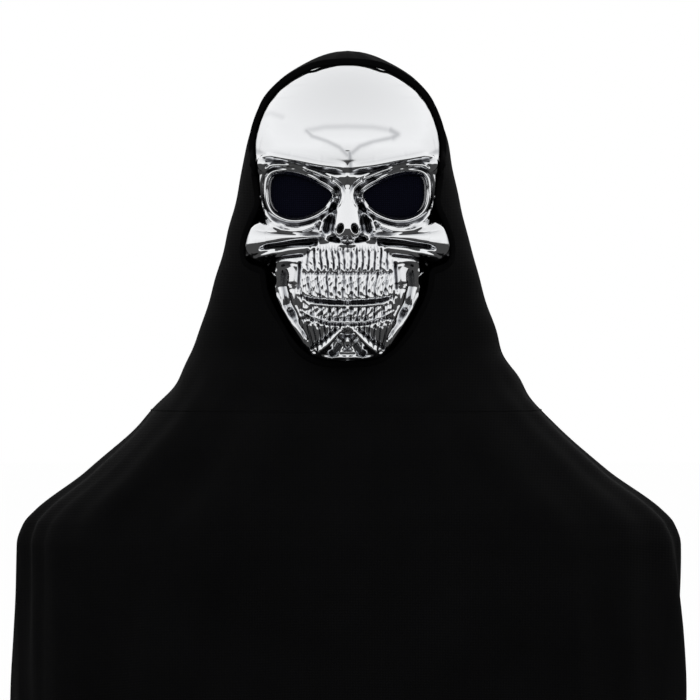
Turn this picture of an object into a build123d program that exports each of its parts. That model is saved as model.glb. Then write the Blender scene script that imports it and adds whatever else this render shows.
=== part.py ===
"""Hooded skull mask: a bright metallised plastic face shell with a black cloth hood and cape.

The shell is one thin moulding of a skull's front. Dark gauze is glued behind its two eye
openings, and an elastic band riveted to its temples holds it on the wearer's head. The hood
is two cloth panels sewn along the crown. Its front edge is bound and glued round the shell's
rim, and a cape of a front and a back panel hangs from it over the shoulders.

Millimetres. The origin is the centre of the wearer's head at eye level, +Z is up, the mask
looks along -Y, and +X is the wearer's left.
"""

from build123d import *

import os
from collections import namedtuple
from math import cos, radians, sin

# ---------------------------------------------------------------- driving dimensions
WALL = 1.5  # face shell
CLOTH = 2.0  # hood and cape cloth, with its small folds
BINDING = 1.2  # bound edge of the hood, outside the cloth's own surface
BINDING_WIDTH = 9.0
GAUZE = 0.6
GLUE_GAP = 0.3  # clearance between pieces that are glued or sewn
SHELL_TUCK = 12.0  # how far the shell's rim reaches inside the hood's surface

BAND_WIDTH = 20.0  # elastic band
BAND_THICKNESS = 1.2
BAND_HEIGHT = 0.0  # middle of the band above eye level
BAND_FRONT = -57.0
BAND_BEND = -39.0  # where the band leaves the shell
BAND_ROUTE = [(82, 8), (66, 66)]  # round the side of the head
BAND_BACK = 99.0  # behind the wearer's head
RIVET_Y = -46.0
RIVET_SHANK = 1.8  # radius
RIVET_HEAD = 4.5  # radius
RIVET_HEAD_THICKNESS = 1.4
WASHER_RADIUS = 5.5
WASHER_THICKNESS = 0.8
RIVET_TAIL = 3.0  # radius of the clenched end
RIVET_TAIL_THICKNESS = 0.8
RIVET_FIT = 0.05

# Garment surface at each height: half width, front and back.
Ring = namedtuple("Ring", "height half_width front back")
HEM_HEIGHT = -490.0
YOKE_HEIGHT = -191.0  # seam between hood and cape, on the shoulders
CROWN_HEIGHT = 127.0
CROWN_Y = 4.0
CAPE_SPLIT = 6.0  # the cape's side seams
RINGS = [
    Ring(HEM_HEIGHT, 296, -150, 162),
    Ring(-440, 296, -149, 160),
    Ring(-390, 295, -147, 157),
    Ring(-345, 294, -144, 153),
    Ring(-310, 288, -140, 149),
    Ring(-280, 274, -135, 145),
    Ring(-245, 234, -126, 139),
    Ring(YOKE_HEIGHT, 176, -108, 130),
    Ring(-150, 146, -90, 118),
    Ring(-100, 127, -86, 107),
    Ring(-48, 112, -93, 105),
    Ring(4, 99, -99, 108),
    Ring(50, 90, -98, 105),
    Ring(82, 78, -86, 93),
    Ring(103, 60, -66, 74),
    Ring(118, 36, -38, 48),
]

# Outline of the face shell seen from the front, right half, from the crown to the chin.
CROWN = (0, 117)
TEMPLE_TOP = (52, 102)
TEMPLE = (82, 48)
TEMPLE_END = (76, -10)
CHEEK_BULGE = (90, -34)
CHEEK_END = (88, -58)
NOTCH = (71, -64)
JAW_ANGLE = (62, -101)
CHIN_CORNER = (36, -139)
CHIN_SIDE = (19, -144.3)
CHIN = (0, -145)
OUTLINE_FILLET = 4.0

# Front of the skull at each height: half width and how far forward it stands.
Slice = namedtuple("Slice", "height half_width front")
FACE_BACK = -20.0
FACE_SLICES = [
    Slice(-145, 36, -106),
    Slice(-132, 45, -113),
    Slice(-112, 58, -116),
    Slice(-88, 68, -115),
    Slice(-62, 72, -110),
    Slice(-35, 78, -104),
    Slice(-8, 80, -104),
    Slice(20, 82, -107),
    Slice(45, 80, -104),
]
CRANIUM_CENTRE = (0, -10, 35)
CRANIUM_RADIUS = 86.5  # across
CRANIUM_DEPTH = 102.0  # from its centre to the forehead
RIM_BACK = -28.0  # rear edge of the shell over the forehead and temples

# Eye opening in its own flat plane: corners, and a point on the arc between each two.
EYE_INNER = (-34, 0)
EYE_UPPER_LID = (-8, 14.5)
EYE_TOP = (20, 20)
EYE_TOP_ROUND = (28.5, 12)
EYE_OUTER = (30.5, 0)
EYE_BOTTOM_ROUND = (23, -14.5)
EYE_BOTTOM = (5, -20.5)
EYE_LOWER_LID = (-16, -15.5)
EYE_CENTRE = (42, -89.5, 0)
EYE_TURN = 25.0  # degrees that the opening faces outwards
SOCKET_WALL = 2.2
SOCKET_BACK = 5.0  # depth of the socket's flat back edge behind the eye plane
GAUZE_LAP = 2.0  # how far the gauze reaches over the socket's back edge

# Ridges are tapered bars: an end near the nose and an outer end, each with its radius.
CHEEK_INNER, CHEEK_INNER_RADIUS = (20, -103, -34), 7.0
CHEEK_OUTER, CHEEK_OUTER_RADIUS = (73, -62, -43), 17.0
BROW_INNER, BROW_INNER_RADIUS = (6, -108, 16), 7.0
BROW_OUTER, BROW_OUTER_RADIUS = (74, -68, 28), 7.0
NOSE_TOP, NOSE_TOP_RADIUS = (0, -104, 6), 6.0
NOSE_TIP, NOSE_TIP_RADIUS = (0, -108, -26), 12.0
MANDIBLE_TOP = (66, -62, -74)
MANDIBLE_END = (34, -104, -137)
MANDIBLE_RADIUS = 4.5
CHIN_HALF_WIDTH = 27.0
CHIN_HEIGHT, CHIN_FRONT, CHIN_RADIUS = -139.0, -106.0, 5.0
CHIN_BOSS, CHIN_BOSS_RADIUS = (0, -111, -127), 6.0

NOSTRIL_WIDTH = 5.5
NOSTRIL_LENGTH = 8.5
NOSTRIL_SPACING = 13.0
NOSTRIL_HEIGHT = -29.0
NOSTRIL_LEAN = 20.0  # degrees

TOOTH_RADIUS = 4.0
TOOTH_PROUD = 1.6  # how far a tooth stands out of the face
TOOTH_LENGTH = 19.0
TEETH_PER_SIDE = 5
TOOTH_PITCH = 0.125  # of the half profile's length
UPPER_TEETH = Slice(-78, 70, -113)
LOWER_TEETH = Slice(-103, 62, -116)

FAR = 400.0  # beyond every surface


# ---------------------------------------------------------------- forms used as tools
def garment(inset):
    """Everything inside the garment's outer surface, moved inwards by inset."""
    with BuildPart() as form:
        for ring in RINGS:
            with BuildSketch(Plane.XY.offset(ring.height)):
                with Locations((0, (ring.front + ring.back) / 2)):
                    Ellipse(ring.half_width - inset, (ring.back - ring.front) / 2 - inset)
        loft(sections=[*form.pending_faces, Vertex(0, CROWN_Y, CROWN_HEIGHT - inset)])
        form.pending_faces = []
    return form.part


def face_outline(grow, back=0.0):
    """Prism forward from y = back, with the shell's front outline grown by a margin."""
    with BuildPart() as prism:
        with BuildSketch(Plane.XZ.offset(-back)) as outline:
            with BuildLine():
                crown = TangentArc(CROWN, TEMPLE_TOP, tangent=(1, 0))
                temple = TangentArc(TEMPLE_TOP, TEMPLE, tangent=crown % 1)
                TangentArc(TEMPLE, TEMPLE_END, tangent=temple % 1)
                ThreePointArc(TEMPLE_END, CHEEK_BULGE, CHEEK_END)
                Line(CHEEK_END, NOTCH)
                jaw = TangentArc(NOTCH, JAW_ANGLE, tangent=(0, -1))
                TangentArc(JAW_ANGLE, CHIN_CORNER, tangent=jaw % 1)
                ThreePointArc(CHIN_CORNER, CHIN_SIDE, CHIN)
                mirror(about=Plane.YZ)
            make_face()
            corners = [TEMPLE_END, CHEEK_END, NOTCH]
            heights = [height for _, height in corners]
            sharp = [v for v in outline.vertices() if min(abs(v.Z - h) for h in heights) < GLUE_GAP]
            fillet(sharp, OUTLINE_FILLET)
            if grow:
                offset(amount=grow, kind=Kind.ARC)
        extrude(amount=FAR)
    return prism.part


def face_profile(half_width, depth):
    """Right half of the face seen from above, from the middle to the side."""
    return Spline(
        (0, FACE_BACK - depth),
        (0.53 * half_width, FACE_BACK - 0.94 * depth),
        (0.87 * half_width, FACE_BACK - 0.68 * depth),
        (0.99 * half_width, FACE_BACK - 0.33 * depth),
        (half_width, FACE_BACK),
        tangents=[(1, 0), (0, 1)],
    )


def face_block(inset):
    """The skull's front below the dome, moved inwards by inset."""
    with BuildPart() as block:
        for level in FACE_SLICES:
            half_width = level.half_width - inset
            depth = FACE_BACK - level.front - inset
            with BuildSketch(Plane.XY.offset(level.height)):
                with BuildLine():
                    side = face_profile(half_width, depth)
                    Line(side @ 1, (0, FACE_BACK))
                    mirror(about=Plane.YZ)
                make_face()
        loft()
    return block.part


def cranium(inset):
    """The dome of the forehead, moved inwards by inset."""
    with BuildPart() as dome:
        with BuildSketch(Plane.XY.offset(CRANIUM_CENTRE[2])):
            with Locations(CRANIUM_CENTRE[:2]):
                Ellipse(CRANIUM_RADIUS - inset, CRANIUM_DEPTH - inset)
            with Locations(CRANIUM_CENTRE[:2]):
                Rectangle(FAR, 2 * FAR, align=(Align.MAX, Align.CENTER), mode=Mode.SUBTRACT)
        revolve(axis=Axis(CRANIUM_CENTRE, (0, 1, 0)))
    return dome.part


def bar(start, end, start_radius, end_radius):
    """A tapered bar with round ends."""
    along = Vector(*end) - Vector(*start)
    with BuildPart() as rod:
        with Locations(start):
            Sphere(start_radius)
        with Locations(end):
            Sphere(end_radius)
        with Locations(Plane(origin=start, z_dir=along)):
            base = (Align.CENTER, Align.CENTER, Align.MIN)
            if start_radius == end_radius:
                Cylinder(start_radius, along.length, align=base)
            else:
                Cone(start_radius, end_radius, along.length, align=base)
    return rod.part


def pair(solid):
    """A solid and its mirror image on the other side of the face."""
    return [solid, solid.mirror(Plane.YZ)]


def eye_plane(side):
    """Plane of an eye opening: side is 1 on the wearer's left and -1 on the right."""
    x, y, z = EYE_CENTRE
    turn = radians(EYE_TURN)
    return Plane(
        origin=(side * x, y, z),
        x_dir=(cos(turn), side * sin(turn), 0),
        z_dir=(side * sin(turn), -cos(turn), 0),
    )


def eye_prism(side, grow, back, front):
    """Solid with the eye's outline, grown by a margin, between two depths of its plane."""
    eye_arcs = [
        (EYE_INNER, EYE_UPPER_LID, EYE_TOP),
        (EYE_TOP, EYE_TOP_ROUND, EYE_OUTER),
        (EYE_OUTER, EYE_BOTTOM_ROUND, EYE_BOTTOM),
        (EYE_BOTTOM, EYE_LOWER_LID, EYE_INNER),
    ]
    with BuildPart() as prism:
        with BuildSketch(eye_plane(side).offset(back)):
            with BuildLine():
                for arc in eye_arcs:
                    ThreePointArc(*[(side * x, y) for x, y in arc])
            make_face()
            if grow:
                offset(amount=grow, kind=Kind.ARC)
        extrude(amount=front - back)
    return prism.part


def tooth_row(row):
    """One row of teeth: upright round-ended bars, bedded in the face."""
    inset = TOOTH_RADIUS - TOOTH_PROUD
    profile = face_profile(row.half_width - inset, FACE_BACK - row.front - inset)
    rise = Vector(0, 0, TOOTH_LENGTH / 2 - TOOTH_RADIUS)
    teeth = []
    for i in range(TEETH_PER_SIDE):
        place = profile @ ((i + 0.5) * TOOTH_PITCH) + Vector(0, 0, row.height)
        teeth += pair(bar(place - rise, place + rise, TOOTH_RADIUS, TOOTH_RADIUS))
    return teeth


def skull_form():
    """The whole outer form of the skull's front, before it is made hollow."""
    dome, block, outline = cranium(0), face_block(0), face_outline(0)
    cheeks = pair(bar(CHEEK_INNER, CHEEK_OUTER, CHEEK_INNER_RADIUS, CHEEK_OUTER_RADIUS))
    brows = pair(bar(BROW_INNER, BROW_OUTER, BROW_INNER_RADIUS, BROW_OUTER_RADIUS))
    nose = bar(NOSE_TOP, NOSE_TIP, NOSE_TOP_RADIUS, NOSE_TIP_RADIUS)
    mandibles = pair(bar(MANDIBLE_TOP, MANDIBLE_END, MANDIBLE_RADIUS, MANDIBLE_RADIUS))
    teeth = tooth_row(UPPER_TEETH) + tooth_row(LOWER_TEETH)
    with BuildPart() as form:
        add(dome)
        add(block)
        for ridge in [*cheeks, *brows, nose, *mandibles, *teeth]:
            add(ridge)
        with Locations((0, CHIN_FRONT, CHIN_HEIGHT)):
            Cylinder(CHIN_RADIUS, 2 * CHIN_HALF_WIDTH, rotation=(0, 90, 0))
        with Locations(CHIN_BOSS):
            Sphere(CHIN_BOSS_RADIUS)
        add(outline, mode=Mode.INTERSECT)
    return form.part


def skull_hollow():
    """The space inside the skull's walls."""
    dome, block, outline = cranium(WALL), face_block(WALL), face_outline(-WALL)
    cheek_radii = (CHEEK_INNER_RADIUS - WALL, CHEEK_OUTER_RADIUS - WALL)
    nose_radii = (NOSE_TOP_RADIUS - WALL, NOSE_TIP_RADIUS - WALL)
    cheeks = pair(bar(CHEEK_INNER, CHEEK_OUTER, *cheek_radii))
    nose = bar(NOSE_TOP, NOSE_TIP, *nose_radii)
    with BuildPart() as form:
        add(dome)
        add(block)
        for ridge in [*cheeks, nose]:
            add(ridge)
        add(outline, mode=Mode.INTERSECT)
    return form.part


# ---------------------------------------------------------------- the pieces
SIDES = {"left": 1, "right": -1}  # the wearer's own left and right
os.makedirs("parts", exist_ok=True)

garment_outside = garment(0)
garment_inside = garment(CLOTH)

# Face shell: hollow form, socket tubes, eye openings, nostrils and rivet holes.
skull, hollow, rim_keep = skull_form(), skull_hollow(), garment(SHELL_TUCK)
socket_depths = (-SOCKET_BACK, FAR / 10)
sockets = []
for side in SIDES.values():
    tube = eye_prism(side, SOCKET_WALL, *socket_depths) & skull
    sockets.append(tube)
eye_cuts = [eye_prism(side, 0, -FAR / 10, FAR / 10) for side in SIDES.values()]

with BuildPart() as face_shell:
    add(skull)
    add(hollow, mode=Mode.SUBTRACT)
    add(rim_keep, mode=Mode.SUBTRACT)
    split(bisect_by=Plane.XZ.offset(-RIM_BACK), keep=Keep.TOP)
    for tube in sockets:
        add(tube)
    for cut in eye_cuts:
        add(cut, mode=Mode.SUBTRACT)
    with BuildSketch(Plane.XZ):
        for side in SIDES.values():
            with Locations(Location((side * NOSTRIL_SPACING / 2, NOSTRIL_HEIGHT), side * NOSTRIL_LEAN)):
                Ellipse(NOSTRIL_WIDTH / 2, NOSTRIL_LENGTH / 2)
    extrude(amount=FAR, mode=Mode.SUBTRACT)
    with Locations((0, RIVET_Y, BAND_HEIGHT)):
        Cylinder(RIVET_SHANK + RIVET_FIT, FAR, rotation=(0, 90, 0), mode=Mode.SUBTRACT)
face_shell.part.label = "face_shell"
export_step(face_shell.part, "parts/face_shell.step")

# Gauze: a flat sheet glued on the back edge of each socket.
for name, side in SIDES.items():
    with BuildPart() as gauze:
        add(eye_prism(side, GAUZE_LAP, -SOCKET_BACK - GAUZE, -SOCKET_BACK))
    gauze.part.label = f"eye_gauze_{name}"
    export_step(gauze.part, f"parts/eye_gauze_{name}.step")

# Cloth: the garment's skin, open round the shell, cut along its seams.
binding_front = face_outline(GLUE_GAP, RIM_BACK + GLUE_GAP)
binding_edge = face_outline(GLUE_GAP + BINDING_WIDTH, RIM_BACK + GLUE_GAP)
cloth_edge = face_outline(2 * GLUE_GAP + BINDING_WIDTH, RIM_BACK + 2 * GLUE_GAP)
with BuildPart() as cloth:
    add(garment_outside)
    add(garment_inside, mode=Mode.SUBTRACT)
    add(cloth_edge, mode=Mode.SUBTRACT)

for name, side in SIDES.items():
    with BuildPart() as hood:
        add(cloth.part)
        split(bisect_by=Plane.XY.offset(YOKE_HEIGHT + GLUE_GAP), keep=Keep.TOP)
        split(bisect_by=Plane.YZ.offset(side * GLUE_GAP / 2), keep=Keep.TOP if side > 0 else Keep.BOTTOM)
    hood.part.label = f"hood_{name}"
    export_step(hood.part, f"parts/hood_{name}.step")

for name, side in {"front": -1, "back": 1}.items():
    with BuildPart() as cape:
        add(cloth.part)
        split(bisect_by=Plane.XY.offset(YOKE_HEIGHT), keep=Keep.BOTTOM)
        seam = Plane.XZ.offset(-CAPE_SPLIT - side * GLUE_GAP / 2)
        split(bisect_by=seam, keep=Keep.BOTTOM if side > 0 else Keep.TOP)
    cape.part.label = f"cape_{name}"
    export_step(cape.part, f"parts/cape_{name}.step")

# Binding: folded over the hood's front edge, round the shell.
garment_binding = garment(-BINDING)
with BuildPart() as face_edge_binding:
    add(garment_binding)
    add(garment_inside, mode=Mode.SUBTRACT)
    add(binding_edge, mode=Mode.INTERSECT)
    add(binding_front, mode=Mode.SUBTRACT)
face_edge_binding.part.label = "face_edge_binding"
export_step(face_edge_binding.part, "parts/face_edge_binding.step")

# Elastic band: along the inside of each temple, then round the back of the head.
band_x = TEMPLE_END[0] - WALL - GLUE_GAP - BAND_THICKNESS / 2
with BuildPart() as elastic_band:
    with BuildSketch(Plane.XY.offset(BAND_HEIGHT - BAND_WIDTH / 2)):
        with BuildLine() as route:
            bend = (band_x, BAND_BEND)
            Line((band_x, BAND_FRONT), bend)
            Spline([bend, *BAND_ROUTE, (0, BAND_BACK)], tangents=[(0, 1), (-1, 0)])
            mirror(about=Plane.YZ)
        trace(line_width=BAND_THICKNESS)
    extrude(amount=BAND_WIDTH)
    with Locations((0, RIVET_Y, BAND_HEIGHT)):
        Cylinder(RIVET_SHANK + RIVET_FIT, FAR, rotation=(0, 90, 0), mode=Mode.SUBTRACT)
elastic_band.part.label = "elastic_band"
export_step(elastic_band.part, "parts/elastic_band.step")

# Rivets: head outside the shell, clenched over a washer inside the band.
with BuildPart() as head_seat:
    add(skull)
    with Locations((FAR / 2, RIVET_Y, BAND_HEIGHT)):
        Cylinder(RIVET_HEAD, FAR, rotation=(0, 90, 0), mode=Mode.INTERSECT)
head_x = head_seat.part.bounding_box().max.X + RIVET_FIT
washer_x = band_x - BAND_THICKNESS / 2 - WASHER_THICKNESS
tail_x = washer_x - RIVET_TAIL_THICKNESS
for name, side in SIDES.items():
    rivet_axis = Plane(origin=(0, RIVET_Y, BAND_HEIGHT), x_dir=(0, 1, 0), z_dir=(side, 0, 0))
    with BuildPart() as strap_rivet:
        with BuildSketch(rivet_axis.offset(tail_x)):
            Circle(RIVET_TAIL)
        extrude(amount=RIVET_TAIL_THICKNESS)
        with BuildSketch(rivet_axis.offset(tail_x)):
            Circle(RIVET_SHANK)
        extrude(amount=head_x - tail_x)
        with BuildSketch(rivet_axis.offset(head_x)):
            Circle(RIVET_HEAD)
        extrude(amount=RIVET_HEAD_THICKNESS)
    strap_rivet.part.label = f"strap_rivet_{name}"
    export_step(strap_rivet.part, f"parts/strap_rivet_{name}.step")

    with BuildPart() as strap_washer:
        with BuildSketch(rivet_axis.offset(washer_x)):
            Circle(WASHER_RADIUS)
            Circle(RIVET_SHANK + RIVET_FIT, mode=Mode.SUBTRACT)
        extrude(amount=WASHER_THICKNESS)
    strap_washer.part.label = f"strap_washer_{name}"
    export_step(strap_washer.part, f"parts/strap_washer_{name}.step")
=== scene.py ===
"""Looks of the hooded skull mask: a chromed skull shell, gauze eyes and a black cloth hood with a cape.

Lengths are written in millimetres of the row's frame and turned into metres when a mesh is made:
+Z is up, the mask looks along -Y, and "forward" is the distance along -Y from the head's centre.
"""
import math

import bpy
import numpy as np
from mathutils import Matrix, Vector


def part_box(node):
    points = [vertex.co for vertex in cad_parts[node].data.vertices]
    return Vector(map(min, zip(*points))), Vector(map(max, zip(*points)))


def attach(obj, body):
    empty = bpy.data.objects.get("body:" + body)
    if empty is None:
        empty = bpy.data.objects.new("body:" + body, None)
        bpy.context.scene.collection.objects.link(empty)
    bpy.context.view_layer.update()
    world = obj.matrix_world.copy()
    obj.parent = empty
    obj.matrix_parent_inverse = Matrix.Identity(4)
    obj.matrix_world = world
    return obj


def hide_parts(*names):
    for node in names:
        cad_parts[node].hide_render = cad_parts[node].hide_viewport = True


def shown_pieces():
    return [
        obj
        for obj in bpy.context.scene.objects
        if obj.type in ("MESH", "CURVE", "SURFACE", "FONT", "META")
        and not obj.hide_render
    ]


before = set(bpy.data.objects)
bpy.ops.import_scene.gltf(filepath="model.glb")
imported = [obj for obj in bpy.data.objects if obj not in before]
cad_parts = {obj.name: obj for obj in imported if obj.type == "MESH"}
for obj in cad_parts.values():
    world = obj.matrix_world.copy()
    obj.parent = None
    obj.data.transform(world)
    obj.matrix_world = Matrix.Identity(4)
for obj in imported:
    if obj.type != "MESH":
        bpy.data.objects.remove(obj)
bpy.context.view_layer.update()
MM = 0.001

# ------------------------------------------------------------------ camera
CAMERA_DISTANCE = 6.0
MASK_DEPTH = 0.1
PICTURE_WIDTH = 0.616  # at the mask's own depth
camera = bpy.data.objects.new("camera", bpy.data.cameras.new("camera"))
bpy.context.scene.collection.objects.link(camera)
bpy.context.scene.camera = camera
camera.location = (0.0022, -CAMERA_DISTANCE, -0.136)
camera.rotation_euler = (math.radians(90), 0, 0)
camera.data.lens = camera.data.sensor_width * (CAMERA_DISTANCE - MASK_DEPTH) / PICTURE_WIDTH

# ------------------------------------------------------------------ sizes
# Outline of the shell seen from the front: half width at each height.
OUTLINE = [
    (117, 0), (116.2, 14), (114, 27.7), (108, 42.7), (103, 51), (98, 58), (92, 63.5), (87, 68), (82, 71),
    (77, 73.8), (66, 78), (57, 80.5), (47, 81.8), (36, 81.5), (26, 80.3), (15, 78.6), (4, 77), (-6, 76.2),
    (-12, 78), (-20, 82), (-27, 84.8), (-38, 88.8), (-46, 90.2), (-54, 89.8), (-58.5, 87), (-61, 79.5),
    (-63, 73), (-66, 71.3), (-80, 70.2), (-91, 66.6), (-101, 61.8), (-112, 56), (-122, 50), (-133, 41.5),
    (-139, 34.5), (-143, 25), (-144.7, 14), (-145, 0),
]
# Garment surface at each height: half width, front and back y.
RINGS = [
    (-490, 296, -150, 162), (-440, 296, -149, 160), (-390, 295, -147, 157), (-345, 294, -144, 153),
    (-310, 294, -140, 149), (-292, 289, -137, 147), (-280, 279, -135, 145), (-245, 234, -126, 139),
    (-191, 176, -108, 130),
    (-150, 146, -90, 118), (-100, 127, -86, 107), (-48, 112, -93, 105), (4, 99, -99, 108),
    (50, 90, -98, 105), (84, 78, -86, 93), (106, 60, -66, 74), (121.5, 36, -38, 48), (131, 1, 2, 6),
]
# Face below the dome at each height: half width and forward reach.
FACE_SLICES = [
    (-145, 38, 104), (-132, 47, 111), (-112, 58, 115), (-88, 68, 114.5), (-62, 72, 110), (-35, 78, 104),
    (-8, 80, 104), (20, 82, 107), (40, 80.5, 104), (58, 77, 96), (75, 68, 78), (95, 52, 50), (117, 30, 20),
]
# Left eye opening, as x and z.
EYE = [
    (11.3, 0), (16, 4.6), (22.5, 8.8), (35, 15), (47, 19), (59, 20), (66.5, 18.6), (69.8, 13), (70.2, 2),
    (69.2, -6.5), (64.5, -14.5), (53, -19.5), (41, -20), (28.5, -16), (18, -9),
]
SHELL_TOP, SHELL_BOTTOM = 117.0, -145.0
DOME_RADIUS = 89.0
YOKE = -191.0
CROWN = 131.0
HEM = -490.0
RIM_BACK = 30.0
WALL = 1.5
# Forward reach of the shell's rear edge at each height.
SHELL_RIM = [(-145, 74), (-120, 70), (-80, 58), (-60, 46), (0, 36), (60, RIM_BACK), (117, RIM_BACK)]
# How far forward the shell's front surface may reach.
NEAREST, FARTHEST = 24, 124

CLOTH_THICKNESS = 0.9
GAUZE_THICKNESS = 0.3
BINDING_OFFSET, BINDING_HALF_WIDTH, BINDING_HALF_THICKNESS = 3.6, 3.2, 1.1
BAND_HALF_WIDTH, BAND_HALF_THICKNESS = 9.9, 0.6


def smooth(low, high, value):
    t = np.clip((value - low) / (high - low), 0, 1)
    return t * t * (3 - 2 * t)


def blend_max(a, b, k):
    h = np.clip(0.5 + 0.5 * (a - b) / k, 0, 1)
    return b + (a - b) * h + k * h * (1 - h)


def curve(table, at, column=1):
    """Smooth curve through a table's rows, read at heights."""
    rows = np.array(sorted(table), float)
    z, v = rows[:, 0], rows[:, column]
    slope = np.diff(v) / np.diff(z)
    tangent = np.concatenate([[slope[0]], np.where(slope[:-1] * slope[1:] > 0,
        2 * slope[:-1] * slope[1:] / (slope[:-1] + slope[1:] + 1e-12), 0), [slope[-1]]])
    at = np.clip(at, z[0], z[-1])
    i = np.clip(np.searchsorted(z, at) - 1, 0, len(z) - 2)
    step = z[i + 1] - z[i]
    t = (at - z[i]) / step
    return (v[i] * (1 + 2 * t) * (1 - t) ** 2 + v[i + 1] * t * t * (3 - 2 * t)
            + step * (tangent[i] * t * (1 - t) ** 2 - tangent[i + 1] * t * t * (1 - t)))


def path_distance(x, z, points):
    """Distance to a polyline, and how far along it the nearest point lies, 0 to 1."""
    points = np.array(points, float)
    lengths = np.linalg.norm(np.diff(points, axis=0), axis=1)
    total, run = lengths.sum(), 0.0
    best = np.full(x.shape, 1e9)
    along = np.zeros(x.shape)
    for a, b, length in zip(points[:-1], points[1:], lengths):
        t = np.clip(((x - a[0]) * (b[0] - a[0]) + (z - a[1]) * (b[1] - a[1])) / length ** 2, 0, 1)
        d = np.hypot(x - a[0] - t * (b[0] - a[0]), z - a[1] - t * (b[1] - a[1]))
        near = d < best
        best = np.where(near, d, best)
        along = np.where(near, (run + t * length) / total, along)
        run += length
    return best, along


def rounded(points, rounds=2):
    """A closed polygon with its corners cut smooth."""
    points = np.array(points, float)
    for _ in range(rounds):
        after = np.roll(points, -1, axis=0)
        points = np.stack([0.75 * points + 0.25 * after, 0.25 * points + 0.75 * after], 1).reshape(-1, 2)
    return points


def inside_distance(x, z, polygon):
    """Signed distance to a closed polygon, negative inside."""
    closed = np.vstack([polygon, polygon[:1]])
    distance, _ = path_distance(x, z, closed)
    inside = np.zeros(x.shape, bool)
    for (x0, z0), (x1, z1) in zip(closed[:-1], closed[1:]):
        crosses = (z0 > z) != (z1 > z)
        inside ^= crosses & (x < x0 + (z - z0) * (x1 - x0) / (z1 - z0 + 1e-12))
    return np.where(inside, -distance, distance)


# ------------------------------------------------------------------ the skull's relief
EYE_OUTLINE = rounded(EYE)


def eye_forward(x):
    return 89.5 - 0.466 * (x - 42)


def bar_forward(x, z, start, end):
    """Forward reach of a tapered round bar; an end is x, z, forward and radius."""
    d, t = path_distance(x, z, [start[:2], end[:2]])
    axis = start[2] + t * (end[2] - start[2])
    radius = start[3] + t * (end[3] - start[3])
    return np.where(d < radius, axis + np.sqrt(np.maximum(radius ** 2 - d ** 2, 0)), axis - 3 * (d - radius))


# Each line: its route, half width and height; a negative height is a groove.
LINES = [
    # forehead: two frontal bosses, the sunk field between them and the glabella's cleft
    ([(0, 58), (28, 59), (39, 56)], 7.0, -0.15),
    ([(38, 54), (22, 45), (5, 38)], 5.0, -0.15),
    ([(0, 40), (0, 24)], 3.2, -0.3),
    ([(22, 31), (52, 36)], 19.0, 0.5),
    ([(66, 60), (78, 66)], 3.0, -0.25),
    ([(58, 48), (74, 44)], 4.0, -0.25),
    # brow: crease over a stepped ledge
    ([(3, 19.5), (22, 22), (50, 27.5), (76, 33)], 1.9, -4.6),
    ([(4, 24), (24, 26.5), (52, 32), (74, 37)], 2.6, 2.4),
    ([(9, 15), (24, 17.5), (44, 23.2), (70, 27.5)], 1.2, 1.6),
    ([(12, 12.5), (24, 14.2)], 1.0, -1.8),
    ([(73, 26), (76, 10), (75.5, -8)], 1.5, -2.4),
    ([(74, 22), (72.4, 30)], 1.6, 1.8),
    # side of the nose
    ([(9.5, 4), (13, -9), (17, -22), (19.5, -35)], 2.7, -7.0),
    ([(15, -12), (21.5, -24), (24, -33)], 1.8, 2.2),
    ([(22, -19), (28, -29)], 1.5, -2.8),
    ([(0, -38.5), (9, -39), (17, -38)], 1.8, -5.0),
    ([(0, -43.5), (7, -43)], 2.2, 1.8),
    # under the eye: two long folds over the cheek plate
    ([(30, -22.5), (44, -27), (58, -26), (69, -19)], 1.3, -2.2),
    ([(26, -26), (40, -31), (58, -30), (72, -23)], 1.6, 2.4),
    ([(74, -10), (75, -17), (79, -22)], 1.7, -2.6),
    ([(24, -33), (46, -35), (68, -33.5), (84, -30)], 1.1, -1.0),
    # cheek plate: undercut, lower lip and its lobe
    ([(28, -40), (48, -41.5), (66, -44), (76, -46)], 2.1, -7.5),
    ([(30, -45.5), (52, -48), (70, -52), (84, -55)], 2.6, 3.2),
    ([(86, -40), (87, -52)], 2.4, 1.6),
    ([(80, -58), (80, -64)], 4.0, 2.0),
    # jaw joint, mandible edge and the gap inside it
    ([(44, -57), (62, -58)], 3.4, 2.6),
    ([(38, -52.5), (56, -54.2), (72, -58.5)], 1.2, -3.4),
    ([(66.5, -67.5), (67, -68)], 3.6, 4.4),
    ([(67, -73), (65, -86), (58.5, -99), (49, -115), (39, -130), (31, -139)], 2.4, 4.2),
    ([(56, -64), (57, -80), (53.5, -96), (46, -109)], 3.1, -8.0),
    ([(47, -60), (49.5, -78)], 3.2, 3.4),
    ([(42, -60), (43.5, -84)], 1.2, -3.0),
    ([(50, -82), (47.5, -97), (41, -110)], 2.0, 2.6),
    ([(51.5, -100), (44, -114), (35, -127)], 1.3, -3.0),
    # mouth: the parting between the rows and the thin bright lips round it
    ([(0, -94.4), (16, -93.8), (32, -92), (40, -89)], 1.5, -4.6),
    ([(0, -97.4), (16, -97), (32, -95.5)], 1.0, 2.2),
    ([(0, -111.6), (15, -111), (30, -107.5), (40, -102)], 1.1, 2.0),
    ([(0, -114), (15, -113.4), (30, -110)], 1.0, -2.0),
    # chin: two bars leaning outwards over an open recess, and the lip under it
    ([(4, -117), (15, -129), (28, -141)], 3.2, 5.6),
    ([(0, -122), (0, -138)], 4.6, -6.0),
    ([(6, -130), (11, -138), (16, -141)], 2.6, -6.5),
    ([(9, -117), (22, -128), (34, -136)], 1.4, -3.2),
    ([(0, -142.6), (20, -142.4), (33, -139)], 1.7, 2.4),
]


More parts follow.
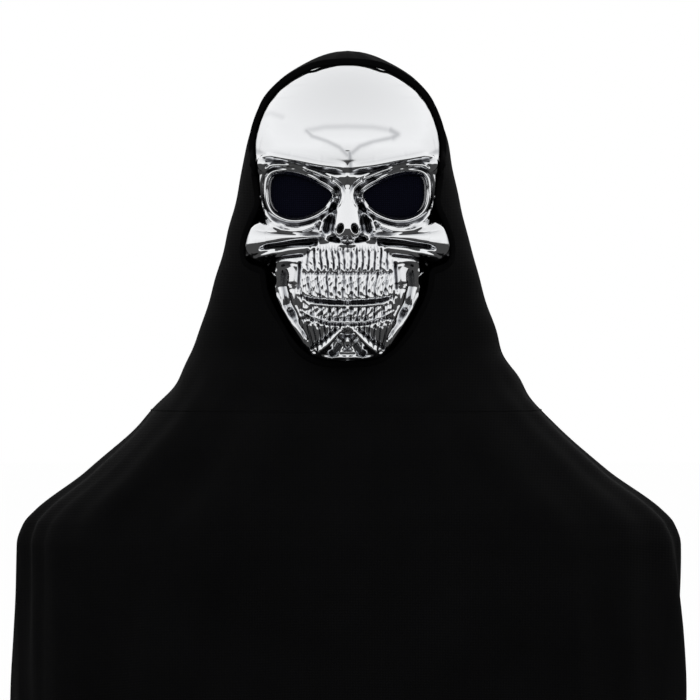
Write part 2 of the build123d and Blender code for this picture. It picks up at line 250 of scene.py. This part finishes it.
def tooth_relief(x, z, wide):
    """Rounded ridges of roots and teeth, fanned a little to the sides and unevenly worn."""
    fan = x / (1 + 0.0032 * (z + 94)) + 0.55 * np.sin(z / 6.3 + wide / 11) + 0.25 * np.sin(z / 3.1 - wide / 7)
    pitch = 6.2 + 0.03 * np.abs(fan)
    phase = np.abs(np.sin(np.pi * (fan + pitch / 2) / pitch))
    crown = 3.4 * (phase ** 0.6 - 0.62)
    upper = smooth(-93.5, -90, z) * smooth(-66, -71, z)
    lower = smooth(-113, -110, z) * smooth(-96.5, -99.5, z)
    roots = 3.4 * (np.abs(np.sin(np.pi * (fan * 1.5 + pitch / 3) / pitch)) ** 0.7 - 0.6)
    gum = smooth(-68, -64, z) * smooth(-45, -51, z)
    jaw = smooth(-112, -115, z) * smooth(-139, -130, z) * smooth(6, 12, np.abs(x) + 0.9 * (z + 118))
    neck = 1.5 * np.exp(-((z + 68.5) / 1.3) ** 2) + 1.2 * np.exp(-((z + 109) / 1.3) ** 2)
    side = smooth(47, 38, np.abs(x) + 0.14 * np.abs(z + 90))
    pits = np.sin(wide * 0.83 + 1.7 * np.sin(z * 0.21)) * np.sin(z * 0.71 + 1.9 * np.sin(wide * 0.17))
    fine = np.sin(fan * 2.6 + 0.8 * np.sin(z * 0.33 + wide * 0.1))
    worn = smooth(-42, -50, z) * smooth(-124, -112, z)
    ridges = crown * (upper + lower) + roots * (gum + 0.9 * jaw) - neck
    return side * ridges + side * worn * (0.5 * pits + 0.35 * fine)


def skull_forward(x, z):
    """How far forward the shell's outer face stands at each point seen from the front."""
    wide, x = x, np.abs(x)
    dome = 10 + 102 * np.sqrt(np.maximum(1 - (x / DOME_RADIUS) ** 2 - ((z - 35) / DOME_RADIUS) ** 2, 0.0004))
    width = curve(FACE_SLICES, z)
    reach = curve(FACE_SLICES, z, 2)
    t = np.clip(x / width, 0, 0.9995)
    block = 20 + (reach - 20) * (1 - t ** 2.6) ** 0.35
    f = blend_max(dome, block, 7)
    for start, end, k in [
        ((19, -36, 101, 6), (72, -41, 61, 19), 4),
        ((6, 17, 103, 8), (72, 29, 70, 8), 5),
        ((0, 5, 101, 8), (0, -29, 107.5, 12.8), 2.2),
    ]:
        f = blend_max(f, bar_forward(x, z, start, end), k)
    # the cheek plate is a flatter wedge laid on its bar
    plate = rounded([(17, -36), (44, -33), (70, -25), (80, -20), (94, -36), (94, -56), (84, -53), (60, -44),
                     (34, -40)], 1)
    on_plate = inside_distance(x, z, plate)
    fall = 16 * smooth(-2.5, 3, on_plate) + 5 * np.maximum(on_plate - 2, 0)
    f = blend_max(f, 84 - 0.85 * (x - 60) - fall, 3)
    f += 2.6 * smooth(1.8, -2.0, on_plate)
    # eye rims, in the eye's own leaning plane
    eye = inside_distance(x, z, EYE_OUTLINE)
    plane = eye_forward(x)
    rim = np.exp(-(np.maximum(eye, 0) / 6.0) ** 2)
    f = f * (1 - rim) + (plane + 0.6) * rim
    f += 2.6 * np.exp(-((eye - 2.3) / 1.6) ** 2)
    f -= 2.4 * np.exp(-((eye - 5.3) / 1.2) ** 2)
    f += 1.9 * np.exp(-((eye - 8.0) / 1.4) ** 2) * smooth(78, 70, x)
    upper = smooth(0, 8, z) * smooth(78, 68, x)
    f -= 1.5 * np.exp(-((eye - 10.4) / 1.0) ** 2) * upper
    f += tooth_relief(x, z, wide)
    for points, half_width, height in LINES:
        d, along = path_distance(x, z, points)
        ends = 0.45 + 0.55 * smooth(0, 0.12, along) * smooth(1, 0.88, along)
        f += height * np.exp(-(d / half_width) ** 2) * ends
    boss = np.hypot(x / 3.2, (z + 129.5) / 5.6)
    f += 8.5 * np.sqrt(np.maximum(1 - boss ** 2, 0))
    # nostrils
    lean = math.radians(18)
    nx = (x - 6.4) * math.cos(lean) + (z + 29.5) * math.sin(lean)
    nz = -(x - 6.4) * math.sin(lean) + (z + 29.5) * math.cos(lean)
    f -= 13 * smooth(1.25, 0.75, np.hypot(nx / 2.7, nz / 4.0))
    # the opening itself falls back to the socket's edge
    f = np.where(eye < 0, plane + 0.6 + 2.6 * np.exp(-(2.3 / 1.6) ** 2) - 8 * smooth(0, -2.2, eye), f)
    return f, eye


def make_mesh(name, vertices, faces, attributes=None):
    mesh = bpy.data.meshes.new(name)
    mesh.from_pydata((np.asarray(vertices, float) * MM).tolist(), [], faces)
    for key, values in (attributes or {}).items():
        layer = mesh.attributes.new(key, "FLOAT", "POINT")
        layer.data.foreach_set("value", np.asarray(values, np.float32))
    mesh.update()
    mesh.polygons.foreach_set("use_smooth", [True] * len(mesh.polygons))
    piece = bpy.data.objects.new(name, mesh)
    bpy.context.scene.collection.objects.link(piece)
    return piece


def grid_faces(rows, columns, start=0, wrap=False):
    r = np.arange(rows - 1)[:, None]
    c = np.arange(columns if wrap else columns - 1)[None, :]
    n = (c + 1) % columns
    quads = np.stack([r * columns + c, r * columns + n, (r + 1) * columns + n, (r + 1) * columns + c], -1)
    return quads.reshape(-1, 4) + start


def blur(values, times):
    for _ in range(times):
        padded = np.pad(values, 1, mode="edge")
        values = (padded[1:-1, 1:-1] * 2 + padded[:-2, 1:-1] + padded[2:, 1:-1]
                  + padded[1:-1, :-2] + padded[1:-1, 2:]) / 6
    return values


# ------------------------------------------------------------------ shell
ROWS, COLUMNS, SIDE_ROWS = 470, 330, 14
s = np.linspace(0, 1, ROWS)
heights = SHELL_TOP - (SHELL_TOP - SHELL_BOTTOM) * (0.72 * s + 0.28 * (1 - np.cos(np.pi * s)) / 2)
u = np.linspace(-1, 1, COLUMNS)
u = 0.8 * u + 0.2 * np.sin(u * math.pi / 2)
half = curve(OUTLINE, heights)
X = u[None, :] * half[:, None]
Z = np.repeat(heights[:, None], COLUMNS, 1)
F, EYE_SIDE = skull_forward(X, Z)
F = np.clip(F, NEAREST, FARTHEST)
# Painted shade: the chrome's colour is darkened in the recesses and grooves of the relief. This is partly
# thinner plating in the hollows and, down to near black, the shade that falls in them. Round the teeth and
# mouth the finer grooves get the same painted shade.
cavity_shade = np.clip((blur(F, 26) - F) / 2.2, 0, 1)
FINE_SHADE_ZONE = smooth(-36, -46, Z) * smooth(62, 48, np.abs(X)) * smooth(-136, -126, Z)
cavity_shade = np.maximum(cavity_shade, FINE_SHADE_ZONE * np.clip((blur(F, 7) - F + 0.02) / 0.8, 0, 1))
# Painted shade along the forehead's grooves, the glabella's cleft and the upper temple: darker lines laid into
# the chrome's colour where these grooves are shaded.
painted_groove_shade = np.zeros(X.shape)
for points, half_width, amount in [
    ([(-36, 57), (-20, 60), (0, 60.5), (22, 60), (38, 57.5)], 2.6, 0.16),
    ([(38, 57.5), (44, 54), (40, 51)], 2.6, 0.30),
    ([(40, 51), (22, 47), (11, 43), (4, 37)], 1.9, 0.26),
    ([(-36, 57), (-31, 52), (-18, 47.5), (-7, 42), (0, 35)], 1.8, 0.26),
    ([(2, 37), (3, 22)], 1.7, 0.40),
    ([(-78, 72), (-68, 74), (-58, 70)], 2.6, 0.10),
]:
    distance, _ = path_distance(X, Z, points)
    painted_groove_shade = np.maximum(painted_groove_shade, amount * np.exp(-(distance / half_width) ** 2))
cavity_shade = np.maximum(cavity_shade, painted_groove_shade)
NOSTRIL_DEEP = (np.hypot((np.abs(X) - 6.4) / 2.0, (Z + 29.5) / 3.2) < 0.9)
EYE_DEEP = EYE_SIDE < -2.6


def shell_rim(z):
    """Forward reach of the shell's rear edge: tucked just inside the hood."""
    return np.interp(z, *zip(*SHELL_RIM))


front = np.stack([X, -F, Z], -1)
back = np.stack([X * (1 - WALL / 90), -(blur(F, 5) - WALL - 0.5), Z], -1)
order = ([(i, COLUMNS - 1) for i in range(1, ROWS - 1)] + [(ROWS - 1, j) for j in range(COLUMNS - 1, -1, -1)]
         + [(i, 0) for i in range(ROWS - 2, 0, -1)] + [(0, j) for j in range(COLUMNS)])
edge = np.array([i * COLUMNS + j for i, j in order])
count = ROWS * COLUMNS


def side_wall(surface, inset):
    ring = surface.reshape(-1, 3)[edge]
    rim = -shell_rim(ring[:, 2])
    rim = np.maximum(rim, ring[:, 1])
    steps = []
    for k in range(1, SIDE_ROWS + 1):
        t = k / SIDE_ROWS
        layer = ring.copy()
        layer[:, 1] = ring[:, 1] + (rim - ring[:, 1]) * t
        layer[:, 0] *= 1 + inset * t
        steps.append(layer)
    return np.array(steps)


outer_side, inner_side = side_wall(front, -0.012), side_wall(back, -0.012)
ring_length = len(edge)
vertices = np.vstack([front.reshape(-1, 3), back.reshape(-1, 3), outer_side.reshape(-1, 3),
                      inner_side.reshape(-1, 3)])
quads = grid_faces(ROWS, COLUMNS)
hole = (NOSTRIL_DEEP | EYE_DEEP).reshape(-1)
kept = quads[~hole[quads].all(1)]
faces = kept[:, ::-1].tolist() + (kept + count).tolist()
start_outer, start_inner = 2 * count, 2 * count + SIDE_ROWS * ring_length
after = np.roll(np.arange(ring_length), -1)
for start, base, flip in [(start_outer, 0, False), (start_inner, count, True)]:
    above = edge + base
    for k in range(SIDE_ROWS):
        below = start + k * ring_length + np.arange(ring_length)
        strip = np.stack([above, above[after], below[after], below], -1)
        faces += (strip[:, ::-1] if flip else strip).tolist()
        above = below
last_outer = start_outer + (SIDE_ROWS - 1) * ring_length + np.arange(ring_length)
last_inner = start_inner + (SIDE_ROWS - 1) * ring_length + np.arange(ring_length)
faces += np.stack([last_outer, last_outer[after], last_inner[after], last_inner], -1).tolist()
inner_flag = np.concatenate([np.zeros(count), np.ones(count), np.zeros(SIDE_ROWS * ring_length),
                             np.ones(SIDE_ROWS * ring_length)])
shade = np.concatenate([cavity_shade.reshape(-1), np.zeros(len(inner_flag) - count)])
shell = make_mesh("skull_shell", vertices, faces, {"cavity_shade": shade, "inside": inner_flag})
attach(shell, "root")
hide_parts("face_shell")

# ------------------------------------------------------------------ gauze
for side, name in ((1, "left"), (-1, "right")):
    centre = EYE_OUTLINE.mean(0)
    rings, around = 14, len(EYE_OUTLINE)
    points = []
    for k in range(rings):
        t = 1.012 * (k + 0.02) / (rings - 1)
        ring = centre + (EYE_OUTLINE - centre) * t
        y = -(eye_forward(ring[:, 0]) - 5.2 + 1.2 * (1 - t * t))
        points.append(np.stack([side * ring[:, 0], y, ring[:, 1]], -1))
    quads = grid_faces(rings, around, wrap=True)
    gauze = make_mesh("gauze_" + name, np.array(points).reshape(-1, 3), (quads[:, ::side]).tolist())
    solid = gauze.modifiers.new("thickness", "SOLIDIFY")
    solid.thickness = GAUZE_THICKNESS * MM
    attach(gauze, "root")
    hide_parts("eye_gauze_" + name)

# ------------------------------------------------------------------ cloth
SQUARED_RINGS = [(z, w * w, (back - front) ** 2 / 4, (back + front) / 2) for z, w, front, back in RINGS]


def ring_at(z):
    """The garment at a height: half width, front and back. Squares keep the crown round."""
    width = np.sqrt(np.maximum(curve(SQUARED_RINGS, z, 1), 0))
    deep = np.sqrt(np.maximum(curve(SQUARED_RINGS, z, 2), 0))
    middle = curve(SQUARED_RINGS, z, 3)
    return width, middle - deep, middle + deep


def folds(angle, z):
    """Outward reach of the drape's folds. Angle 0 is the front, and they grow towards the hem."""
    drop = smooth(-120, -330, z)
    warp = 0.25 * np.sin(2 * angle + 0.7) + 0.012 * (z + 300) * 0.1 * np.sin(3 * angle)
    big = np.sin(9 * (angle + warp) + 0.4 * np.sin(z / 90))
    mid = np.sin(15 * (angle - 0.6 * warp) + 1.3 + z / 160)
    fine = np.sin(27 * angle + 2.0 * np.sin(2 * angle + 1) + z / 60)
    pleat = 5.4 * (np.abs(big) ** 0.8 * np.sign(big)) + 2.6 * mid + 1.1 * fine
    neck = np.exp(-((z + 165) / 34) ** 2)
    slack = np.sin(z / 7.5 + 3.2 * np.cos(angle * 2) + 1.1 * np.sin(5 * angle)) * np.cos(angle * 1.5 + z / 55)
    crown = smooth(20, 110, z)
    pulled = np.sin(11 * angle + z / 20 + 1.2 * np.sin(3 * angle))
    return drop * pleat + neck * 2.3 * slack + 0.9 * (1 - drop) * slack * 0.6 + 0.7 * crown * pulled


def cloth_surface(angle, z):
    width, front_y, back_y = ring_at(z)
    reach = folds(angle, z)
    seam = 0.7 * np.exp(-(np.sin(angle) * width / 1.6) ** 2) * smooth(YOKE, YOKE + 11, z)
    reach = reach - 1.2 + seam
    x = (width + reach) * np.sin(angle)
    y = (front_y + back_y) / 2 - ((back_y - front_y) / 2 + reach) * np.cos(angle)
    return x, y


def face_side(x, z, grow):
    return inside_distance(np.abs(x), z, OUTLINE_LOOP) - grow


loop_z = SHELL_TOP - (SHELL_TOP - SHELL_BOTTOM) * (1 - np.cos(np.linspace(0, math.pi, 130))) / 2
loop = np.stack([curve(OUTLINE, loop_z), loop_z], 1)
OUTLINE_LOOP = np.vstack([loop, [(-400, SHELL_BOTTOM), (-400, SHELL_TOP)]])
CLOTH_EDGE = 1.4


def cloth_piece(name, top, bottom, rows, columns=420):
    t = np.linspace(0, 1, rows)
    if top > 100:
        t = 0.62 * t + 0.38 * (1 - np.cos(np.pi * t / 2))
    z = top + (bottom - top) * t
    angle = np.linspace(-math.pi, math.pi, columns, endpoint=False)
    A, H = np.meshgrid(angle, z)
    x, y = cloth_surface(A, H)
    grid = np.stack([x, y, H], -1).reshape(-1, 3)
    quads = grid_faces(rows, columns, wrap=True)
    side = face_side(grid[:, 0], grid[:, 2], CLOTH_EDGE)
    open_part = (side < 0) & (grid[:, 1] < -RIM_BACK)
    gone = open_part[quads].sum(1) >= 3
    kept = quads[~gone]
    # the cut edge is drawn onto the outline
    step = 0.05
    used = np.unique(kept)
    near = used[(np.abs(side[used]) < 5) & (grid[used, 1] < -RIM_BACK) & open_part[used]]
    for _ in range(3):
        p = grid[near]
        d = face_side(p[:, 0], p[:, 2], CLOTH_EDGE)
        gx = (face_side(p[:, 0] + step, p[:, 2], CLOTH_EDGE) - d) / step
        gz = (face_side(p[:, 0], p[:, 2] + step, CLOTH_EDGE) - d) / step
        grid[near, 0] -= d * gx
        grid[near, 2] -= d * gz
    index = np.full(len(grid), -1)
    index[used] = np.arange(len(used))
    piece = make_mesh(name, grid[used], index[kept].tolist())
    solid = piece.modifiers.new("thickness", "SOLIDIFY")
    solid.thickness = CLOTH_THICKNESS * MM
    solid.offset = -1
    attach(piece, "root")
    return piece


hood = cloth_piece("hood", CROWN, YOKE + 0.4, 210)
cape = cloth_piece("cape", YOKE - 0.1, HEM, 150)
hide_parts("hood_left", "hood_right")
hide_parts("cape_front", "cape_back")


def strip(name, centre_line, normal, half_width, half_height, slot, around=10, closed=True):
    """A flattened tube along a line: a tape, a hem or a seam."""
    line = np.asarray(centre_line, float)
    along = np.roll(line, -1, 0) - np.roll(line, 1, 0) if closed else np.gradient(line, axis=0)
    along /= np.linalg.norm(along, axis=1)[:, None] + 1e-9
    across = np.cross(along, normal)
    across /= np.linalg.norm(across, axis=1)[:, None] + 1e-9
    up = np.cross(across, along)
    rings = []
    for k in range(around):
        a = 2 * math.pi * k / around
        c, sn = math.cos(a), math.sin(a)
        wide = half_width * math.copysign(abs(c) ** 0.7, c)
        high = half_height * math.copysign(abs(sn) ** 0.7, sn)
        rings.append(line + across * wide + up * high)
    grid = np.stack(rings, 1)
    n = len(line)
    quads = grid_faces(n, around, wrap=True)
    if closed:
        last = (n - 1) * around + np.arange(around)
        first = np.arange(around)
        joint = np.stack([last, np.roll(last, -1), np.roll(first, -1), first], -1)
        quads = np.vstack([quads, joint])
    faces = quads.tolist()
    if not closed:
        faces += [list(range(around)), list(range((n - 1) * around, n * around))]
    piece = make_mesh(name, grid.reshape(-1, 3), faces)
    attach(piece, "root")
    return piece


def on_cloth(x, z):
    """The cloth's front surface at points seen from the front."""
    width, front_y, back_y = ring_at(z)
    t = np.clip(np.abs(x) / width, 0, 0.999)
    y = (front_y + back_y) / 2 - (back_y - front_y) / 2 * np.sqrt(1 - t * t)
    return np.minimum(y, -RIM_BACK)


full = np.vstack([loop, loop[-2:0:-1] * [-1, 1]])
steps = np.vstack([full, full[:1]])
run = np.concatenate([[0], np.cumsum(np.linalg.norm(np.diff(steps, axis=0), axis=1))])
even = np.linspace(0, run[-1], 420, endpoint=False)
edge_line = np.stack([np.interp(even, run, steps[:, 0]), np.interp(even, run, steps[:, 1])], 1)
for _ in range(6):
    edge_line = (np.roll(edge_line, 1, 0) + 2 * edge_line + np.roll(edge_line, -1, 0)) / 4
tangent = np.roll(edge_line, -1, 0) - np.roll(edge_line, 1, 0)
outward = np.stack([-tangent[:, 1], tangent[:, 0]], 1)
outward /= np.linalg.norm(outward, axis=1)[:, None]
if (outward[:, 0] * edge_line[:, 0]).sum() < 0:
    outward = -outward
middle = edge_line + outward * BINDING_OFFSET
edge_y = on_cloth(middle[:, 0], middle[:, 1]) + 0.2
shell_edge = -np.interp(middle[:, 1], heights[::-1], F[::-1, -2])
lifted = np.minimum(edge_y, shell_edge + 6)
upper_edge = smooth(-5, 25, middle[:, 1])
edge_y = edge_y + (lifted - edge_y) * upper_edge
bind_line = np.stack([middle[:, 0], edge_y, middle[:, 1]], 1)
tilt = np.stack([middle[:, 0] / 95, -np.ones(len(middle)), middle[:, 1] / 260], 1)
binding = strip("binding", bind_line, tilt, BINDING_HALF_WIDTH, BINDING_HALF_THICKNESS, "binding",
                12)
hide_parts("face_edge_binding")

# yoke seam and stitched hem follow the cloth
turn = np.linspace(-math.pi, math.pi, 420, endpoint=False)
for name, z, wide, high in (("yoke_seam", YOKE + 0.2, 2.0, 0.9), ("hem", HEM + 8, 8.0, 0.8)):
    x, y = cloth_surface(turn, np.full(len(turn), z))
    line = np.stack([x, y, np.full(len(turn), z)], 1)
    normal = np.stack([np.sin(turn), -np.cos(turn), 0 * turn], 1)
    strip(name, line, normal, wide, high, "hood_cloth", 8)

# ------------------------------------------------------------------ elastic band
band_x = abs(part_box("strap_washer_left")[1][0]) / MM + 0.6
half_route = np.array([(band_x, -57), (band_x, -39), (78, -16), (82, 8), (79, 38), (66, 66), (38, 90),
                       (14, 98.6), (0, 99)])
route_t = np.concatenate([[0], np.cumsum(np.linalg.norm(np.diff(half_route, axis=0), axis=1))])
fine_t = np.linspace(0, route_t[-1], 90)
half_line = np.stack([np.interp(fine_t, route_t, half_route[:, k]) for k in (0, 1)], 1)
for _ in range(16):
    half_line[1:-1] = (half_line[:-2] + 2 * half_line[1:-1] + half_line[2:]) / 4
band_line = np.vstack([half_line, half_line[-2::-1] * [-1, 1]])
band_line = np.column_stack([band_line, np.zeros(len(band_line))])
side_normal = np.column_stack([np.gradient(band_line[:, 1]), -np.gradient(band_line[:, 0]),
                               np.zeros(len(band_line))])
band = strip("elastic_band_woven", band_line, side_normal, BAND_HALF_WIDTH, BAND_HALF_THICKNESS, "elastic", 12,
             closed=False)
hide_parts("elastic_band")

# ------------------------------------------------------------------ materials


def material(name, color, metallic=0.0, roughness=0.5, specular=0.5):
    m = bpy.data.materials.new(name)
    m.use_nodes = True
    shader = m.node_tree.nodes["Principled BSDF"]
    shader.inputs["Base Color"].default_value = (*color, 1)
    shader.inputs["Metallic"].default_value = metallic
    shader.inputs["Roughness"].default_value = roughness
    shader.inputs["Specular IOR Level"].default_value = specular
    return m, m.node_tree.nodes, m.node_tree.links, shader


def add_node(nodes, kind, **settings):
    node = nodes.new(kind)
    for key, value in settings.items():
        if key in node.inputs:
            node.inputs[key].default_value = value
        else:
            setattr(node, key, value)
    return node


def ramp(nodes, links, source, stops):
    node = nodes.new("ShaderNodeValToRGB")
    while len(node.color_ramp.elements) < len(stops):
        node.color_ramp.elements.new(0.5)
    for element, (position, color) in zip(node.color_ramp.elements, stops):
        element.position = position
        element.color = (*color, 1)
    links.new(source, node.inputs["Fac"])
    return node


# The chrome's base colour carries the painted cavity shade: pale silver on open surfaces, then grey, then near
# black in the deepest grooves.
chrome, nodes, links, shader = material("chrome", (0.86, 0.87, 0.89), 1.0, 0.07)
deep = add_node(nodes, "ShaderNodeAttribute", attribute_name="cavity_shade")
tone = ramp(nodes, links, deep.outputs["Fac"],
            [(0.0, (0.86, 0.87, 0.885)), (0.35, (0.50, 0.51, 0.53)), (0.8, (0.05, 0.05, 0.055))])
inner = add_node(nodes, "ShaderNodeAttribute", attribute_name="inside")
cover = add_node(nodes, "ShaderNodeMix", data_type="RGBA")
links.new(inner.outputs["Fac"], cover.inputs[0])
links.new(tone.outputs["Color"], cover.inputs[6])
cover.inputs[7].default_value = (0.23, 0.23, 0.24, 1)
links.new(cover.outputs[2], shader.inputs["Base Color"])
metal = add_node(nodes, "ShaderNodeMath", operation="SUBTRACT")
metal.inputs[0].default_value = 1.0
links.new(inner.outputs["Fac"], metal.inputs[1])
links.new(metal.outputs[0], shader.inputs["Metallic"])
place = add_node(nodes, "ShaderNodeTexCoord")
haze = add_node(nodes, "ShaderNodeTexNoise", Scale=38.0, Detail=5.0, Roughness=0.6)
links.new(place.outputs["Object"], haze.inputs["Vector"])
rough = add_node(nodes, "ShaderNodeMapRange")
for key, value in (("From Min", 0.3), ("From Max", 0.75), ("To Min", 0.045), ("To Max", 0.13)):
    rough.inputs[key].default_value = value
links.new(haze.outputs["Fac"], rough.inputs["Value"])
worn = add_node(nodes, "ShaderNodeMix", data_type="FLOAT")
links.new(inner.outputs["Fac"], worn.inputs[0])
links.new(rough.outputs[0], worn.inputs[2])
worn.inputs[3].default_value = 0.45
links.new(worn.outputs[0], shader.inputs["Roughness"])
ripple = add_node(nodes, "ShaderNodeTexNoise", Scale=55.0, Detail=2.0)
links.new(place.outputs["Object"], ripple.inputs["Vector"])
bump = add_node(nodes, "ShaderNodeBump", Strength=0.12, Distance=0.002)
links.new(ripple.outputs["Fac"], bump.inputs["Height"])
links.new(bump.outputs[0], shader.inputs["Normal"])


def woven(name, dark, light, pitch, roughness, specular, strength):
    """Plain weave: two sets of threads at right angles, with slubs and faint colour drift."""
    m, nodes, links, shader = material(name, dark, 0.0, roughness, specular)
    place = add_node(nodes, "ShaderNodeTexCoord")
    heights_in = []
    thread_scale = 0.5 / (pitch * MM * 3.14)
    for direction in ("X", "Z"):
        wave = add_node(nodes, "ShaderNodeTexWave", bands_direction=direction, Scale=thread_scale,
                        Distortion=0.6)
        wave.inputs["Detail"].default_value = 1.0
        links.new(place.outputs["Object"], wave.inputs["Vector"])
        heights_in.append(wave)
    join = add_node(nodes, "ShaderNodeMath", operation="MULTIPLY")
    links.new(heights_in[0].outputs["Fac"], join.inputs[0])
    links.new(heights_in[1].outputs["Fac"], join.inputs[1])
    drift = add_node(nodes, "ShaderNodeTexNoise", Scale=16.0, Detail=6.0)
    links.new(place.outputs["Object"], drift.inputs["Vector"])
    both = add_node(nodes, "ShaderNodeMath", operation="MULTIPLY")
    links.new(join.outputs[0], both.inputs[0])
    links.new(drift.outputs["Fac"], both.inputs[1])
    tone = ramp(nodes, links, both.outputs[0], [(0.0, dark), (0.6, light)])
    links.new(tone.outputs["Color"], shader.inputs["Base Color"])
    bump = add_node(nodes, "ShaderNodeBump", Strength=strength, Distance=0.0006)
    links.new(join.outputs[0], bump.inputs["Height"])
    links.new(bump.outputs[0], shader.inputs["Normal"])
    return m


black_cloth = woven("black_cloth", (0.0009, 0.0009, 0.001), (0.0034, 0.0034, 0.0037), 0.7, 0.8, 0.035, 0.4)
tape = woven("black_tape", (0.0008, 0.0008, 0.0009), (0.003, 0.003, 0.0033), 0.5, 0.9, 0.02, 0.5)
mesh_cloth = woven("eye_gauze", (0.0008, 0.0009, 0.0024), (0.0035, 0.004, 0.012), 0.9, 0.8, 0.03, 0.8)
ribbed = woven("ribbed_elastic", (0.006, 0.006, 0.006), (0.03, 0.03, 0.03), 1.1, 0.7, 0.2, 0.9)
steel, nodes, links, shader = material("plated_steel", (0.6, 0.6, 0.61), 1.0, 0.25)
scratch = add_node(nodes, "ShaderNodeTexNoise", Scale=900.0, Detail=4.0)
tone = ramp(nodes, links, scratch.outputs["Fac"], [(0.3, (0.5, 0.5, 0.51)), (0.7, (0.68, 0.68, 0.69))])
links.new(tone.outputs["Color"], shader.inputs["Base Color"])

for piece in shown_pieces():
    chosen = {"skull_shell": chrome, "binding": tape, "elastic_band_woven": ribbed}.get(piece.name)
    if piece.name.startswith("gauze"):
        chosen = mesh_cloth
    elif "strap_" in piece.name:
        chosen = steel
    elif chosen is None:
        chosen = black_cloth
    piece.data.materials.clear()
    piece.data.materials.append(chosen)

# ------------------------------------------------------------------ stage and light
FLOOR = HEM * MM - 0.25
FLOOR_SIZE = 30.0
floor_mesh = bpy.data.meshes.new("floor")
floor_corners = [(x * FLOOR_SIZE, y * FLOOR_SIZE, FLOOR) for x, y in ((-1, -1), (1, -1), (1, 1), (-1, 1))]
floor_mesh.from_pydata(floor_corners, [], [(0, 1, 2, 3)])
floor = bpy.data.objects.new("floor", floor_mesh)
bpy.context.scene.collection.objects.link(floor)
pale, nodes, links, shader = material("pale_floor", (0.8, 0.8, 0.8), 0.0, 0.8, 0.2)
floor.data.materials.append(pale)
seen = nodes.new("ShaderNodeLightPath")
glow = add_node(nodes, "ShaderNodeEmission", Strength=1.0)
mixed = nodes.new("ShaderNodeMixShader")
part = add_node(nodes, "ShaderNodeMath", operation="MULTIPLY")
links.new(seen.outputs["Is Camera Ray"], part.inputs[0])
part.inputs[1].default_value = 0.97
links.new(part.outputs[0], mixed.inputs[0])
links.new(shader.outputs[0], mixed.inputs[1])
links.new(glow.outputs[0], mixed.inputs[2])
dim = add_node(nodes, "ShaderNodeEmission", Strength=0.06)
studio = nodes.new("ShaderNodeMixShader")
links.new(seen.outputs["Is Glossy Ray"], studio.inputs[0])
links.new(mixed.outputs[0], studio.inputs[1])
links.new(dim.outputs[0], studio.inputs[2])
links.new(studio.outputs[0], nodes["Material Output"].inputs["Surface"])

world = bpy.data.worlds.new("studio")
bpy.context.scene.world = world
world.use_nodes = True
nodes, links = world.node_tree.nodes, world.node_tree.links
nodes.clear()
out = nodes.new("ShaderNodeOutputWorld")
path = nodes.new("ShaderNodeLightPath")
direction = nodes.new("ShaderNodeTexCoord")
split = nodes.new("ShaderNodeSeparateXYZ")
links.new(direction.outputs["Generated"], split.inputs[0])
up = add_node(nodes, "ShaderNodeMapRange")
for key, value in (("From Min", -1.0), ("From Max", 1.0), ("To Min", 0.0), ("To Max", 1.0)):
    up.inputs[key].default_value = value
links.new(split.outputs["Z"], up.inputs["Value"])
sky = ramp(nodes, links, up.outputs[0], [(0.25, (0.2,) * 3), (0.42, (0.04,) * 3), (0.475, (0.12,) * 3),
                                         (0.50, (0.85,) * 3), (0.68, (1.0,) * 3), (1.0, (0.85,) * 3)])
lit = add_node(nodes, "ShaderNodeBackground", Strength=1.0)
links.new(sky.outputs["Color"], lit.inputs["Color"])
white = add_node(nodes, "ShaderNodeBackground", Strength=1.0)
white.inputs["Color"].default_value = (1, 1, 1, 1)
choose = nodes.new("ShaderNodeMixShader")
links.new(path.outputs["Is Camera Ray"], choose.inputs[0])
links.new(lit.outputs[0], choose.inputs[1])
links.new(white.outputs[0], choose.inputs[2])
links.new(choose.outputs[0], out.inputs["Surface"])


def lamp(name, place, aim, width, height, power):
    light = bpy.data.lights.new(name, "AREA")
    light.shape = "RECTANGLE"
    light.size, light.size_y, light.energy = width, height, power
    holder = bpy.data.objects.new(name, light)
    bpy.context.scene.collection.objects.link(holder)
    holder.location = place
    holder.visible_glossy = False
    holder.rotation_euler = (Vector(aim) - Vector(place)).to_track_quat("-Z", "Y").to_euler()


lamp("key", (-1.3, -1.9, 1.3), (0, 0, -0.05), 1.2, 1.2, 28)
lamp("fill", (1.7, -1.6, 0.5), (0, 0, -0.1), 0.8, 1.6, 14)
bpy.context.scene.view_settings.view_transform = "Standard"
